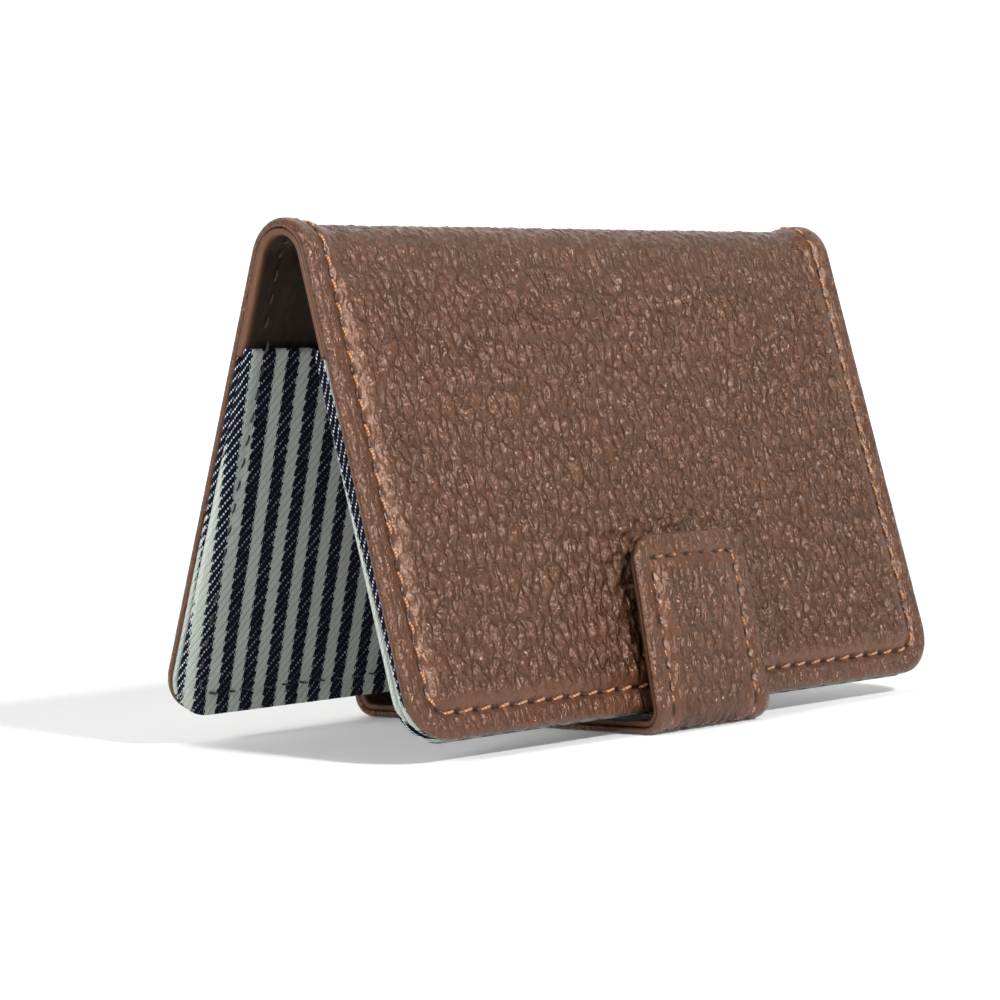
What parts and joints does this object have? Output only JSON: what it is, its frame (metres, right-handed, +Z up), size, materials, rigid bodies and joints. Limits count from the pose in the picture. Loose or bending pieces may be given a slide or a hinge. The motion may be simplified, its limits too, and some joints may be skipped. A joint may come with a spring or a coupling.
{
  "type": "stick-on phone card holder",
  "caption": "Folding leather card holder with striped cloth pockets and a magnetic strap; it sticks to the back of a phone and props it up when opened into a tent.",
  "frame": {"origin": "under the middle of the holder's box, on the surface that the strap's underside rests on", "axes": "+X along the fold, -Y towards the front flap, +Y towards the flap that carries the sticky pad, +Z up"},
  "size_m": [0.095, 0.0566, 0.0644],
  "materials": {
    "leather_brown": "grained, satin, brown",
    "leather_lining": "fine grained, satin, darker brown",
    "striped_cloth": "twill ticking, navy and light grey stripes",
    "board": "grey stiffening board",
    "magnet_metal": "plated",
    "adhesive_foam": "matte foam tape"
  },
  "bodies": {
    "root": {"outer_cover": "leather_brown", "fold_lining": "leather_lining", "front_pocket_back": "striped_cloth", "front_pocket_face": "striped_cloth", "back_pocket_back": "striped_cloth", "back_pocket_face": "striped_cloth", "front_board": "board", "back_board": "board", "keeper_plate": "magnet_metal", "strap_face": "leather_brown", "strap_backing": "leather_lining", "strap_magnet": "magnet_metal", "adhesive_pad": "adhesive_foam"}
  },
  "joints": []
}
